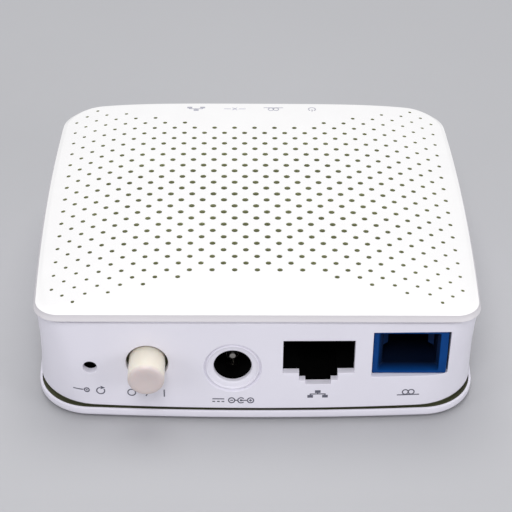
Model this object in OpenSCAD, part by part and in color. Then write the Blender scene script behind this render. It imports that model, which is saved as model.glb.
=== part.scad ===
// Optical network terminal: a small three-part enclosure with its board, ports and controls.
// Millimetres. +Z is up, the port panel faces -Y, and Z = 0 is the surface it stands on.

/* [Enclosure] */
// Width of the base, the widest part
case_w = 76.4; // [74:0.2:80]
// Depth of the base
case_d = 67.4; // [66:0.2:72]
// Height from the table to the highest point of the cover
case_h = 24.6; // [24:0.2:27]
// How far the body draws in from its foot to its top, on each side
draft = 1; // [0.4:0.1:1.4]
// Plan radius of the corners at the foot
foot_corner = 10; // [8:0.5:12]
// Plan radius of the two back corners at the top
top_corner = 6.5; // [5:0.5:8]
// Plan radius of the two front corners at the top, beside the port panel
front_corner = 4.2; // [4:0.1:6]
// How far the middle of each side stands out past its ends
bow = 0.5; // [0.2:0.1:0.8]
// Thickness of the moulded walls
wall = 1.3; // [1.1:0.1:1.5]
// Thickness of the cover's top
cover_t = 0.9; // [0.8:0.1:1.3]

/* [Vent holes] */
// Step of the staggered vent pattern, across and along
vent_pitch = 1.9; // [1.8:0.05:1.9]
// Diameter of the vent holes at the middle of the cover
vent_middle_d = 1.1; // [0.7:0.05:1.2]
// Diameter of the vent holes at the edge of the pattern
vent_edge_d = 0.6; // [0.4:0.05:0.8]

/* [Ports] */
// Width of the network plug opening
lan_w = 12; // [11.7:0.1:12.2]
// Place of the network port from the middle line
lan_x = 10.3; // [10:0.1:10.6]
// Place of the optical port from the middle line
optic_x = 25.7; // [25.5:0.1:25.8]
// Place of the power inlet from the middle line
dc_x = -4.1; // [-4.3:0.1:-3.9]
// Diameter of the centre pin of the power inlet
dc_pin_d = 2.1; // [1.7:0.1:2.5]

/* [Controls] */
// Place of the power button from the middle line
button_x = -18.4; // [-18.6:0.1:-18.2]
// Diameter of the power button
button_d = 6.1; // [5.6:0.1:6.4]
// How far the power button stands out of the panel when off
button_out = 4.6; // [3.6:0.1:5]
// Full travel of the power button
button_travel = 2.5; // [1.5:0.1:2.6]
// Place of the reset pinhole from the middle line
reset_x = -28; // [-28.2:0.1:-27.8]
// Diameter of the reset pinhole
reset_hole_d = 2.4; // [1.6:0.1:2.8]

/* [Hidden] */

// Heights of the enclosure's joints, from the table up
foot_h = 0.8;                        // feet stand this far below the base
rim_h = 1.7;                         // visible edge of the base
shadow_gap = 0.5;                    // between base and body
cover_h = 3.4;                       // cover, lip and crown together
base_top = foot_h + rim_h;
body_bottom = base_top + shadow_gap;
body_top = case_h - cover_h;
ledge_inset = 1.2;                   // the base steps in this far at the shadow gap

body_inset = 0.2;                    // the base stands out past the body's foot
lip_over = 0.6;                      // the cover stands out past the body's top
body_w = case_w - 2*body_inset;
body_d = case_d - 2*body_inset;
top_w = body_w - 2*draft;
top_d = body_d - 2*draft;
play = 0.15;                         // between parts that slide together

// The panel leans back with the draft; ports are placed from its face
function panel_y(z) = -body_d/2 + draft*(z - body_bottom)/(body_top - body_bottom);
ports_y = -31;                       // front of the upright jacks and switches, just behind the panel

// Heights of the port axes
board_z = 5;
board_t = 1.2;
board_top = board_z + board_t;
lan_bottom = 8.1;
optic_z = 14.1;
dc_z = 11.5;
button_z = 12.4;
reset_z = 11.2;

// The case sits back a little, so that the button and case together are centred on the origin
case_y = (button_out - case_d/2 - panel_y(button_z))/2;

// Vent pattern: columns and rows counted from the middle of the cover
vent_columns = 18;
vent_rows = 16;
vent_corner_cut = 32;                // column + row stays within this
crown_drop = 1.3;                    // fall of the crown at the outer columns
crown_r = (pow(vent_columns*vent_pitch, 2) + pow(crown_drop, 2))/(2*crown_drop);

// Screw posts that hang inside the body, each with a rib that runs out into the side wall
post_x = 31.6;
rear_post = [30.4, 24.6];
front_post_y = -8;
post_r = 2.5;
post_foot = 4.05;
screw_hole_r = 1;
screw_hole_top = 14;
rib_end = 36.2;
rib_foot = 5.6;
rib_t = 1.4;
posts = [for (s = [-1, 1]) each [[s*rear_post[0], rear_post[1]], [s*post_x, front_post_y]]];
board_posts = [[-24.5, 22], [26, 16], [-24.5, -14], [4.5, -11.5]];
board_screw_posts = [board_posts[0], board_posts[1]];
foot_r = 4;
foot_spots = [for (x = [-1, 1], y = [-1, 1]) [x*23.5, y*24]];
keyhole_step = 40;
hook_xs = [-10, 10];                 // snap hooks of the cover, front and back
led_xs = [for (i = [-1.5 : 1.5]) i*7.5];
led_y = 25.2;
light_z = 12.2;
light_hole_r = 1.25;

// Openings in the port panel. The network plug's has its full width above two narrower latch steps.
lan_h = 9;
lan_shoulder = 2.3;
latch_w = 6.5;
latch_shoulder = 0.7;
latch_foot_w = 4.3;
optic_w = 12.9;
optic_h = 9.2;
button_gap = 0.48;                   // all round the button
dc_hole_r = 3.2;
dish_r = 5.4;                        // the power inlet's dish narrows to its floor
dish_floor_r = 4.2;
dish_depth = 0.75;

// Solder pins of the leaded parts: where each one passes through the board
button_pins = [for (x = [-2.5, 2.5], i = [0:2]) [button_x + x, -24.5 + 2.5*i]];
reset_pins = [for (x = [-2.25, 2.25]) [reset_x + x, -26.4]];
dc_pins = [[dc_x, -17.6], [dc_x, -23.6], [dc_x + 3.6, -20.6]];
lan_pins = [for (i = [0:7]) [lan_x + (i - 3.5)*1.27, i % 2 == 0 ? -18.4 : -20.9]];
lan_pegs = [for (x = [-5.7, 5.7]) [lan_x + x, -24.4]];
optic_pegs = [for (x = [-4.6, 4.6]) [optic_x + x, -24]];
lead_pins = [for (x = [-0.9, 0.9], y = [0, 2]) [optic_x + x, -3.6 + y]];
capacitor_spots = [[-29.4, -17.6, 3.15, 7.7], [-12.2, -12.6, 3.15, 7.7], [18.1, 23.6, 2.5, 5.4]];
pin_r = 0.4;

$fn = 48;

// ---------- Shared shapes ----------

module in_place() translate([0, case_y, 0]) children();

// One quarter of a plan outline: a bowed side, a round corner, a bowed side
function quarter(w, d, r) =
    let (cx = w/2 - bow - r, cy = d/2 - bow - r, lean = atan(2*bow/cy))
    concat(
        [for (t = [0 : 0.34 : 0.9]) [w/2 - bow*t*t, cy*t]],
        [for (a = [lean : (90 - 2*lean)/8 : 90.01 - lean]) [cx + r*cos(a), cy + r*sin(a)]],
        [for (t = [0.68 : -0.34 : -0.01]) [cx*t, d/2 - bow*t*t]]
    );
function reversed(list) = [for (i = [len(list) - 1 : -1 : 0]) list[i]];
function flipped(list, sx, sy) = [for (p = list) [p[0]*sx, p[1]*sy]];
function inner(list, first, last) = [for (i = [first : len(list) - 1 - last]) list[i]];

// A whole plan outline, whose front corners may have a radius of their own
module outline(w, d, r, front_r = 0) {
    back = quarter(w, d, r);
    front = quarter(w, d, front_r > 0 ? front_r : r);
    polygon(concat(
        back,
        inner(reversed(flipped(back, -1, 1)), 1, 0),
        inner(flipped(front, -1, -1), 1, 0),
        inner(reversed(flipped(front, 1, -1)), 1, 1)
    ));
}

// A solid between two heights whose plan shrinks with the body's draft. Inset is from the outer wall.
module drafted(inset, z0, z1) {
    skin = 0.01;
    hull() {
        translate([0, 0, z0]) linear_extrude(skin)
            outline(body_w - 2*inset, body_d - 2*inset, foot_corner - inset);
        translate([0, 0, z1 - skin]) linear_extrude(skin)
            outline(top_w - 2*inset, top_d - 2*inset, top_corner - inset, front_corner - inset);
    }
}

// An upright ring just inside a wall whose inner face has the given plan
module tongue(w, d, r, thick, z0, z1) {
    translate([0, 0, z0]) linear_extrude(z1 - z0) difference() {
        outline(w - 2*play, d - 2*play, r - play);
        outline(w - 2*(play + thick), d - 2*(play + thick), r - play - thick);
    }
}

// A box given by its middle in X, its front face in Y and its underside
module block(x, y, z, w, d, h) translate([x - w/2, y, z]) cube([w, d, h]);

// A cylinder that runs towards the back from y0 to y1
module shaft(x, y0, y1, z, r, r_end = -1) {
    translate([x, y0, z]) rotate([-90, 0, 0]) cylinder(h = y1 - y0, r1 = r, r2 = r_end < 0 ? r : r_end);
}

module drill(spots, z0, z1, r) {
    for (p = spots) translate([p[0], p[1], z0]) cylinder(h = z1 - z0, r = r);
}

// Pins that hang through the board and end in a short solder tail
module board_pins(spots, from_z) {
    tail = 1.6;
    for (p = spots) {
        translate([p[0], p[1], board_z - tail]) cylinder(h = from_z - board_z + tail, r = pin_r);
        translate([p[0], p[1], board_z - 0.7]) cylinder(h = 0.68, r1 = pin_r + 0.1, r2 = 0.85);
    }
}

// ---------- Enclosure ----------

function vent_row_limit(c) = c < 7 ? 12 : 12 + floor((c - 4)/3);
function vent_here(c, r) =
    (c + r) % 2 == 0 && abs(c) + abs(r) <= vent_corner_cut && abs(r) <= vent_row_limit(abs(c));
function vent_d(c, r) =
    let (out = pow(c/vent_columns, 2) + pow(r/vent_rows, 2))
    max(vent_edge_d, vent_middle_d - (vent_middle_d - vent_edge_d)*out/1.5);

module vent_pattern() {
    for (c = [-vent_columns : vent_columns], r = [-vent_rows : vent_rows])
        if (vent_here(c, r)) translate([c, r]*vent_pitch) circle(d = vent_d(c, r), $fn = 16);
}

// The crown falls away to both sides and is level from front to back
module crown(z_top, length) {
    translate([0, length/2, z_top - crown_r]) rotate([90, 0, 0]) cylinder(h = length, r = crown_r, $fn = 360);
}

module cover_plate() {
    intersection() {
        translate([0, 0, body_top]) linear_extrude(cover_h) difference() {
            outline(top_w + 2*lip_over, top_d + 2*lip_over, top_corner, front_corner);
            vent_pattern();
        }
        crown(case_h, case_d);
    }
}

module post_ribs(side_play) {
    for (p = posts) {
        reach = rib_end - abs(p[0]);
        translate([sign(p[0])*(abs(p[0]) + reach/2), p[1], (rib_foot + body_top)/2])
            cube([reach, rib_t + 2*side_play, body_top - rib_foot], center = true);
    }
}

module top_cover() color("white") in_place() {
    inner_w = top_w - 2*wall;
    inner_d = top_d - 2*wall;
    inner_r = top_corner - wall;
    slip = 0.02;
    tongue_t = 1;
    tongue_depth = 1.4;
    hook_depth = 2.6;
    hook_w = 5;
    rim = play + tongue_t/2;            // the cover's edge reaches in over half of the tongue
    difference() {
        cover_plate();
        intersection() {
            translate([0, 0, body_top - 1]) linear_extrude(cover_h + 1)
                outline(inner_w - 2*rim, inner_d - 2*rim, inner_r - rim);
            crown(case_h - cover_t, case_d + 1);
        }
    }
    difference() {
        tongue(inner_w - slip, inner_d - slip, inner_r, tongue_t, body_top - tongue_depth, body_top + 0.8);
        post_ribs(play);
        translate([0, 0, -0.5]) post_ribs(play);
    }
    for (s = [-1, 1], x = hook_xs) {
        block(x, s*(inner_d/2 - play - 0.6) - 0.5, body_top - hook_depth, hook_w, 1, 3);
        block(x, s*inner_d/2 - 0.3, body_top - hook_depth, hook_w, 0.6, 0.8);
    }
}

module network_plug_profile() {
    translate([-lan_w/2, lan_shoulder]) square([lan_w, lan_h - lan_shoulder]);
    translate([-latch_w/2, latch_shoulder]) square([latch_w, lan_shoulder - latch_shoulder + 0.1]);
    translate([-latch_foot_w/2, 0]) square([latch_foot_w, latch_shoulder + 0.1]);
}

module port_cutouts() {
    front = -case_d/2 - 1;
    behind = ports_y + 2;
    shaft(reset_x, front, behind, reset_z, reset_hole_d/2);
    shaft(button_x, front, behind, button_z, button_d/2 + button_gap);
    shaft(dc_x, front, behind, dc_z, dc_hole_r);
    dish_floor = panel_y(dc_z) + dish_depth;
    shaft(dc_x, dish_floor - 2*dish_depth, dish_floor, dc_z, dish_r, dish_floor_r);
    translate([lan_x, behind, lan_bottom]) rotate([90, 0, 0])
        linear_extrude(behind - front) network_plug_profile();
    block(optic_x, front, optic_z - optic_h/2, optic_w, behind - front, optic_h);
}

module hook_slots() {
    for (s = [-1, 1], x = hook_xs)
        block(x, s*(top_d/2 - wall) - 0.45, body_top - 2.75, 5.3, 0.9, 1.1);
}

module light_windows() {
    for (x = led_xs) shaft(x, case_d/2 - 5, case_d/2 + 1, light_z, light_hole_r);
}

module main_body() color("whitesmoke") in_place() {
    difference() {
        drafted(0, body_bottom, body_top);
        drafted(wall, body_bottom - 0.5, body_top + 0.5);
        port_cutouts();
        light_windows();
        hook_slots();
    }
    difference() {
        union() {
            drill(posts, post_foot, body_top, post_r);
            post_ribs(0);
        }
        drill(posts, post_foot - 0.05, screw_hole_top, screw_hole_r);
    }
}

// A wall screw's head goes through the round end, and its shank up the slot
module keyhole() {
    head_r = 3.4;
    shank_r = 1.6;
    slot = 6.4;
    circle(r = head_r);
    translate([-shank_r, 0]) square([2*shank_r, slot]);
    translate([0, slot]) circle(r = shank_r);
}

module floor_vents(z) {
    slot_w = 1.2;
    slot_l = 8;
    slot_pitch = 2.6;
    for (i = [-5 : 5], s = [-1, 1])
        block(i*slot_pitch, s*17 - slot_l/2, z, slot_w, slot_l, 4);
}

label_w = 25.2;
label_d = 21.2;
label_t = 0.12;

module base_cover() color("whitesmoke") in_place() {
    floor_t = 1.4;
    boss_top = 4;
    boss_r = 3.3;
    recess_top = 2.6;
    recess_r = 2.4;
    shank_hole_r = 1.3;
    under = foot_h - 1;
    cavity_inset = wall + 1.35;
    difference() {
        union() {
            translate([0, 0, foot_h]) linear_extrude(rim_h) outline(case_w, case_d, foot_corner);
            translate([0, 0, base_top - 0.01]) linear_extrude(shadow_gap + 0.01)
                outline(body_w - 2*ledge_inset, body_d - 2*ledge_inset, foot_corner - ledge_inset);
        }
        translate([0, 0, foot_h + floor_t]) linear_extrude(3)
            outline(body_w - 2*cavity_inset, body_d - 2*cavity_inset, foot_corner - 3);
        drill(foot_spots, under, foot_h + 0.5, foot_r + 0.2);
        drill(posts, under, recess_top, recess_r);
        drill(posts, under, boss_top, shank_hole_r);
        for (s = [-1, 1])
            translate([s*keyhole_step/2, -2, under]) linear_extrude(floor_t + 2) keyhole();
        floor_vents(under);
        block(0, -label_d/2 - 0.4, under, label_w + 0.8, label_d + 0.8, 1.15);
    }
    tongue(body_w - 2*wall - 0.1, body_d - 2*wall - 0.1, foot_corner - wall, 1.2, body_bottom - 0.2, board_z);
    difference() {
        drill(posts, foot_h + floor_t - 0.01, boss_top, boss_r);
        drill(posts, under, recess_top, recess_r);
        drill(posts, recess_top - 1, boss_top + 1, shank_hole_r);
    }
    difference() {
        drill(board_posts, foot_h + floor_t - 0.01, board_z, 2);
        drill(board_screw_posts, foot_h + floor_t + 0.6, board_z + 1, 0.8);
    }
}

module rubber_feet() color("dimgray") in_place() {
    for (p = foot_spots) translate([p[0], p[1], 0]) rotate_extrude()
        polygon([[0, 0], [foot_r - 0.5, 0], [foot_r, 0.5], [foot_r, foot_h + 0.49], [0, foot_h + 0.49]]);
}

// A pan-head screw pointing up, with a cross recess in its head
module screw(head_r, head_h, shank_r, shank_l) {
    difference() {
        union() {
            cylinder(h = head_h, r1 = head_r*0.75, r2 = head_r);
            translate([0, 0, head_h - 0.01]) cylinder(h = shank_l - 0.8, r = shank_r);
            translate([0, 0, head_h + shank_l - 0.82]) cylinder(h = 0.8, r1 = shank_r, r2 = shank_r*0.4);
        }
        for (a = [0, 90]) rotate(a) translate([-head_r*0.55, -0.2, -1]) cube([head_r*1.1, 0.4, 1.7]);
    }
}

module case_screws() color("silver") in_place() {
    for (p = posts) translate([p[0], p[1], 1.39]) screw(2.2, 1.2, 0.95, 9);
}

module rating_label() color("gainsboro") in_place() {
    translate([-label_w/2, -label_d/2, foot_h + 0.02]) cube([label_w, label_d, label_t]);
}

// ---------- Power button ----------

button_front = panel_y(button_z) - button_out;
switch_front = ports_y + button_travel + 1.4;
switch_back = switch_front + 9.5;
plunger_s = 3;

module power_button_cap() color("antiquewhite") in_place() {
    r = button_d/2;
    flange_r = r + 0.9;
    flange = ports_y + 0.2 - button_front;
    length = flange + 0.8;
    difference() {
        translate([button_x, button_front, button_z]) rotate([-90, 0, 0]) rotate_extrude()
            polygon([[0, 0.12], [1.4, 0.03], [2.3, 0], [r - 0.3, 0.1], [r - 0.08, 0.3], [r, 0.6],
                [r, flange], [flange_r, flange], [flange_r, length], [0, length]]);
        block(button_x, button_front + 3, button_z - plunger_s/2, plunger_s, 10, plunger_s);
    }
}

module power_switch_plunger() color("ivory") in_place() {
    block(button_x, button_front + 3, button_z - plunger_s/2,
        plunger_s, switch_front + 2 - button_front - 3, plunger_s);
    block(button_x, switch_front + 1, button_z - 2.4, 4.8, 1.4, 4.8);
    shaft(button_x, switch_front + 2.3, switch_front + 5, button_z, 0.9);
}

module power_switch_body() color("dimgray") in_place() {
    w = 8.4;
    length = switch_back - switch_front;
    difference() {
        block(button_x, switch_front, board_top, w, length, 10.4);
        block(button_x, switch_front + 1, button_z - 2.6, 5.2, length - 2, 5.2);
        block(button_x, switch_front - 1, button_z - 1.65, 3.3, 3, 3.3);
        drill(button_pins, board_top - 1, board_top + 1.5, pin_r + 0.02);
    }
}

// Wire spring around the plunger's tail, swept along its helix
spring_turns = 6;
spring_r = 1.7;
wire_r = 0.18;
ring_sides = 6;
rings_a_turn = 12;
spring_start = switch_front + 2.4 + wire_r + 0.02;
spring_length = switch_back - 1 - wire_r - 0.02 - spring_start;
function spring_point(i, k) =
    let (turn = i/rings_a_turn, a = 360*turn, b = 360*k/ring_sides, r = spring_r + wire_r*cos(b))
    let (along = spring_start + spring_length*turn/spring_turns + wire_r*sin(b))
    [button_x + r*cos(a), along, button_z + r*sin(a)];

module power_switch_spring() color("silver") in_place() {
    last = spring_turns*rings_a_turn;
    polyhedron(
        points = [for (i = [0 : last], k = [0 : ring_sides - 1]) spring_point(i, k)],
        faces = concat(
            [[for (k = [ring_sides - 1 : -1 : 0]) k]],
            [for (i = [0 : last - 1], k = [0 : ring_sides - 1]) let (n = (k + 1) % ring_sides)
                [i*ring_sides + k, i*ring_sides + n, (i + 1)*ring_sides + n, (i + 1)*ring_sides + k]],
            [[for (k = [0 : ring_sides - 1]) last*ring_sides + k]]
        )
    );
}

module power_switch_pins() color("silver") in_place() board_pins(button_pins, board_top + 1.4);

// ---------- Reset switch ----------

reset_front = ports_y + 2.6;
reset_travel = 0.25;

module reset_switch_body() color("dimgray") in_place() {
    difference() {
        block(reset_x, reset_front, board_top, 6, 3.6, 8);
        shaft(reset_x, reset_front - 1, reset_front + 1.6, reset_z, 1.8);
        drill(reset_pins, board_top - 1, board_top + 1.3, pin_r + 0.02);
    }
    for (x = [-2.1, 2.1], z = [-2.1, 2.1])
        shaft(reset_x + x, reset_front - 0.25, reset_front + 0.01, reset_z + z, 0.4);
}

module reset_switch_plunger() color("black") in_place() {
    shaft(reset_x, reset_front - 1.8, reset_front + 1.6 - reset_travel - 0.05, reset_z, 1.7);
}

module reset_switch_pins() color("silver") in_place() board_pins(reset_pins, board_top + 1.2);

// ---------- Power inlet ----------

dc_front = ports_y - 0.3;
dc_bore_end = dc_front + 9.8;
dc_back = dc_front + 13.8;

module dc_jack_body() color([0.1, 0.1, 0.1]) in_place() {
    difference() {
        block(dc_x, dc_front, board_top, 9, dc_back - dc_front, 10.8);
        shaft(dc_x, dc_front - 1, dc_bore_end, dc_z, 3.15);
        shaft(dc_x, dc_bore_end - 0.1, dc_back + 1, dc_z, 0.8);
        block(dc_x, dc_front + 3, board_top - 1, 2.2, 7.6, 3.5);
        drill(dc_pins, board_top - 1, board_top + 1.1, pin_r + 0.32);
    }
}

module dc_jack_centre_pin() color("silver") in_place() {
    tip = dc_front + 1.6;
    nose = 0.6;
    shaft(dc_x, tip + nose, dc_bore_end, dc_z, dc_pin_d/2);
    shaft(dc_x, tip, tip + nose + 0.01, dc_z, dc_pin_d/2 - 0.55, dc_pin_d/2);
    shaft(dc_x, dc_bore_end - 0.01, dc_back + 0.5, dc_z, 0.78);
}

module dc_jack_spring_contact() color("gold") in_place() {
    translate([dc_x - 1, dc_front + 3.2, 0]) rotate([90, 0, 90]) linear_extrude(2)
        polygon([[0, 7.5], [3, 8.6], [7, 7.2], [7, 6.9], [3, 8.3], [0.1, 7.2]]);
}

module dc_jack_tabs() color("silver") in_place() {
    for (p = dc_pins) translate([p[0] - 0.6, p[1] - 0.2, board_z - 1.6]) cube([1.2, 0.4, board_t + 2.6]);
}

// ---------- Network port ----------

jack_front = ports_y;
jack_back = jack_front + 15.6;

module network_jack() color([0.12, 0.12, 0.12]) in_place() {
    difference() {
        block(lan_x, jack_front, board_top, 15.6, jack_back - jack_front, 12);
        translate([lan_x, jack_front + 12.6, lan_bottom]) rotate([90, 0, 0])
            linear_extrude(14) network_plug_profile();
        for (i = [0:7]) block(lan_x + (i - 3.5)*1.27, jack_front + 1.2, 17, 0.62, 9.4, 0.6);
        drill(lan_pins, board_top - 1, board_top + 1.1, pin_r + 0.02);
        drill(lan_pegs, board_top - 1, board_top + 0.9, 1.2);
    }
    for (p = lan_pegs) translate([p[0], p[1], board_z - 1]) cylinder(h = board_t + 2, r = 1.2);
}

module network_contacts() color("gold") in_place() {
    for (i = [0:7]) translate([lan_x + (i - 3.5)*1.27 - 0.22, jack_front + 1.6, 0])
        rotate([90, 0, 90]) linear_extrude(0.44)
            polygon([[0, 16.95], [0, 17.25], [0.4, 17.45], [9, 17.45], [9, 17.15], [0.8, 17.15],
                [7.2, 13.9], [7.3, 13.55], [7, 13.5], [0.5, 16.8]]);
}

module network_jack_pins() color("silver") in_place() board_pins(lan_pins, board_top + 1);

// ---------- Optical port ----------

optic_front = panel_y(optic_z) + 0.95;
adapter_l = 16;
optic_back = optic_front + adapter_l;
adapter_w = optic_w - 0.2;
adapter_h = optic_h - 0.2;
plug_w = 9;
plug_h = 7.4;
keyway_w = 2.4;
keyway_h = 0.45;

module optical_adapter() color([0.05, 0.2, 0.55]) in_place() {
    difference() {
        union() {
            block(optic_x, optic_front, optic_z - adapter_h/2, adapter_w, adapter_l, adapter_h);
            block(optic_x, ports_y + 0.4, board_top, 11, 13, 4);
        }
        block(optic_x, optic_front - 1, optic_z - plug_h/2, plug_w, 13.5, plug_h);
        block(optic_x, optic_front - 1, optic_z - plug_h/2 - 0.3, plug_w + 1.2, 2.6, plug_h + 0.6);
        block(optic_x, optic_front - 1, optic_z + plug_h/2 - 0.1, keyway_w, 9, keyway_h + 0.1);
        shaft(optic_x, optic_front + 10, optic_back + 1, optic_z, 2.1);
    }
    for (p = optic_pegs) translate([p[0], p[1], board_z - 1]) cylinder(h = board_t + 1.01, r = 1);
}

module optical_latch_insert() color("ivory") in_place() {
    difference() {
        block(optic_x, optic_front + 11, optic_z - 3.6, 8.8, 1.4, 7.2);
        shaft(optic_x, optic_front + 10, optic_front + 13, optic_z, 2.1);
    }
    for (s = [-1, 1]) translate([optic_x + s*4.3, optic_front + 11.01, optic_z - 1.6])
        linear_extrude(3.2)
            polygon([[0, 0], [0, -7], [-s*0.9, -6.2], [-s*0.5, -5.4], [-s*0.5, 0]]);
}

module ferrule_sleeve() color("white") in_place() {
    length = 7.4;
    slit = 0.3;
    translate([optic_x, optic_back - length, optic_z]) rotate([-90, 0, 0])
        linear_extrude(length) difference() {
            circle(1.9);
            circle(1.25);
            translate([-slit/2, 0]) square([slit, 3]);
        }
}

module optical_transceiver() color("lightgray") in_place() {
    back = optic_back;
    difference() {
        union() {
            shaft(optic_x, back + 0.02, back + 1.6, optic_z, 3.6);
            shaft(optic_x, back + 1.5, back + 5.6, optic_z, 2.7);
            shaft(optic_x, back + 5.5, back + 8.4, optic_z, 3);
            shaft(optic_x, back + 8.3, back + 9.4, optic_z, 2.3);
        }
        for (x = [-1, 1], z = [-1, 1]) shaft(optic_x + x*0.9, back + 9, back + 10, optic_z + z*0.9, 0.3);
    }
}

module transceiver_leads() color("gold") in_place() {
    from_y = optic_back + 9.05;
    for (i = [0:3]) {
        p = lead_pins[i];
        z = optic_z + (i % 2 == 0 ? -0.9 : 0.9);
        shaft(p[0], from_y, p[1] + 0.2, z, 0.22);
        translate([p[0], p[1], board_z - 1]) cylinder(h = z + 0.2 - board_z + 1, r = 0.22);
    }
}

// A pressed can with rows of cooling holes in its top
module optics_shield() color("silver") in_place() {
    sheet = 0.25;
    can = [16, 13, 3.4];
    middle = [15, 6];
    difference() {
        block(middle[0], middle[1] - can[1]/2, board_top, can[0], can[1], can[2]);
        block(middle[0], middle[1] - can[1]/2 + sheet, board_top - 1, can[0] - 2*sheet, can[1] - 2*sheet,
            can[2] + 1 - sheet);
        for (i = [-2 : 2], j = [-1 : 1]) translate([middle[0] + i*2.6, middle[1] + j*2.8, board_top + 2])
            cylinder(h = 3, r = 0.6);
    }
}

// ---------- Board ----------

board_w = 67.4;
board_d = 58.4;

// The board is notched round the posts and at its corners, and drilled for every pin and peg
module board_plan() {
    difference() {
        square([board_w, board_d], center = true);
        for (p = posts) translate(p) circle(r = post_r + 1.2);
        for (s = [-1, 1]) translate([s, 1]*[[board_w/2, 0], [0, board_d/2]]) circle(r = 7);
        for (s = [-1, 1]) translate([s, -1]*[[board_w/2, 0], [0, board_d/2]]) square([7, 7], center = true);
        for (s = [-1, 1]) translate([s*36, front_post_y]) square([8, 7.4], center = true);
        for (p = board_screw_posts) translate(p) circle(r = 1.15);
        for (p = concat(button_pins, reset_pins, lan_pins, lead_pins))
            translate(p) circle(r = pin_r + 0.1, $fn = 24);
        for (p = dc_pins) translate(p) circle(r = 0.75);
        for (p = lan_pegs) translate(p) circle(r = 1.25);
        for (p = optic_pegs) translate(p) circle(r = 1.05);
    }
}

module main_board() color("darkgreen") in_place() {
    translate([0, 0, board_z]) linear_extrude(board_t) board_plan();
}

module board_screws() color("silver") in_place() {
    for (p = board_screw_posts) translate([p[0], p[1], board_top + 1]) mirror([0, 0, 1])
        screw(1.9, 1, 0.75, 3);
}

processor_spot = [-4.5, 3.5];
processor_h = 1.2;
pad_h = 0.5;

module main_processor() color([0.15, 0.15, 0.16]) in_place() {
    size = 14;
    difference() {
        block(processor_spot[0], processor_spot[1] - size/2, board_top, size, size, processor_h);
        translate([processor_spot[0] - 6, processor_spot[1] - 6, board_top + processor_h - 0.2])
            cylinder(h = 1, r = 0.4);
    }
}

module thermal_pad() color("lightblue") in_place() {
    size = 13;
    block(processor_spot[0], processor_spot[1] - size/2, board_top + processor_h, size, size, pad_h);
}

module heat_sink() color("silver") in_place() {
    size = 17;
    plate_t = 1.6;
    fin_t = 0.8;
    fin_h = 4.6;
    under = board_top + processor_h + pad_h;
    block(processor_spot[0], processor_spot[1] - size/2, under, size, size, plate_t);
    fin_pitch = 2;
    for (i = [-4 : 4])
        block(processor_spot[0] + i*fin_pitch, processor_spot[1] - size/2, under + plate_t - 0.01,
            fin_t, size, fin_h);
}

// A moulded chip with gull-wing legs down both long sides
module leaded_chip(x, y, w, d, h, legs, pitch) {
    block(x, y - d/2, board_top + 0.1, w, d, h);
    for (s = [-1, 1], i = [0 : legs - 1])
        block(x + s*(w/2 + 0.35), y + (i - (legs - 1)/2)*pitch - pitch*0.2, board_top, 0.8, pitch*0.4, 0.5);
}

module memory_chip() color([0.15, 0.15, 0.16]) in_place()
    leaded_chip(x = -21.5, y = 5.5, w = 10, d = 14, h = 1.1, legs = 20, pitch = 0.65);

module flash_chip() color([0.15, 0.15, 0.16]) in_place()
    leaded_chip(x = -13, y = 20, w = 5.3, d = 5.3, h = 1.8, legs = 4, pitch = 1.27);

module converter_chips() color([0.15, 0.15, 0.16]) in_place() {
    for (p = [[-20, -11.6], [12.5, 20]])
        leaded_chip(x = p[0], y = p[1], w = 4, d = 5, h = 1.5, legs = 4, pitch = 1.27);
}

module network_transformer() color([0.13, 0.13, 0.14]) in_place() {
    difference() {
        leaded_chip(x = lan_x + 0.2, y = -8.4, w = 9, d = 7, h = 5.2, legs = 5, pitch = 1.27);
        translate([lan_x - 3, -10.8, board_top + 5]) cylinder(h = 1, r = 0.5);
    }
}

module clock_crystal() color("silver") in_place() {
    translate([-31, 8, board_top]) linear_extrude(0.5) capsule(3, 7.6);
    translate([-31, 8, board_top + 0.49]) linear_extrude(3) capsule(2.6, 7.2);
}

module capsule(w, length) {
    square([w, length - w], center = true);
    for (s = [-1, 1]) translate([0, s*(length - w)/2]) circle(d = w);
}

module power_coils() color("gray") in_place() {
    for (p = [[-25, -6], [24, 24]]) difference() {
        block(p[0], p[1] - 3, board_top, 6, 6, 2.8);
        translate([p[0], p[1], board_top + 2.6]) difference() {
            cylinder(h = 1, r = 2.6);
            translate([0, 0, -1]) cylinder(h = 3, r = 1.6);
        }
    }
}

module bulk_capacitors() color("lightsteelblue") in_place() {
    foot = 0.8;
    for (c = capacitor_spots) {
        r = c[2];
        top = c[3] - foot;
        block(c[0], c[1] - r - 0.1, board_top, 2*r + 0.2, 2*r + 0.2, foot);
        translate([c[0], c[1], board_top + foot - 0.01]) rotate_extrude()
            polygon([[0, 0], [r, 0], [r, 0.8], [r - 0.25, 1.1], [r, 1.4],
                [r, top - 0.3], [r - 0.3, top], [0, top]]);
    }
}

module protection_diode() color([0.15, 0.15, 0.16]) in_place() {
    block(-4.3, -14.5, board_top + 0.1, 4.4, 2.6, 2.1);
    for (s = [-1, 1]) block(-4.3 + s*2.45, -13.9, board_top, 0.9, 1.4, 0.6);
}

// Rows of small parts: where each row starts, and how many stand in it
small_part_rows = [
    [-26.8, 14.5, 4], [-15, 12, 5], [5.4, 15, 3],
    [-14, -6.8, 4], [18, -5, 3], [-3, 14.6, 5]
];

module chip_part(x, y, w, d, h) {
    block(x, y - d/2, board_top, w, d, h);
}

module small_capacitors() color("tan") in_place() {
    for (row = small_part_rows, i = [0 : row[2] - 1]) chip_part(row[0] + i*1.7, row[1], 0.9, 1.6, 0.8);
}

module small_resistors() color([0.1, 0.1, 0.12]) in_place() {
    for (row = small_part_rows, i = [0 : row[2] - 1]) chip_part(row[0] + i*1.7, row[1] + 2.2, 0.8, 1.6, 0.45);
}

// ---------- Status lights ----------

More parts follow.
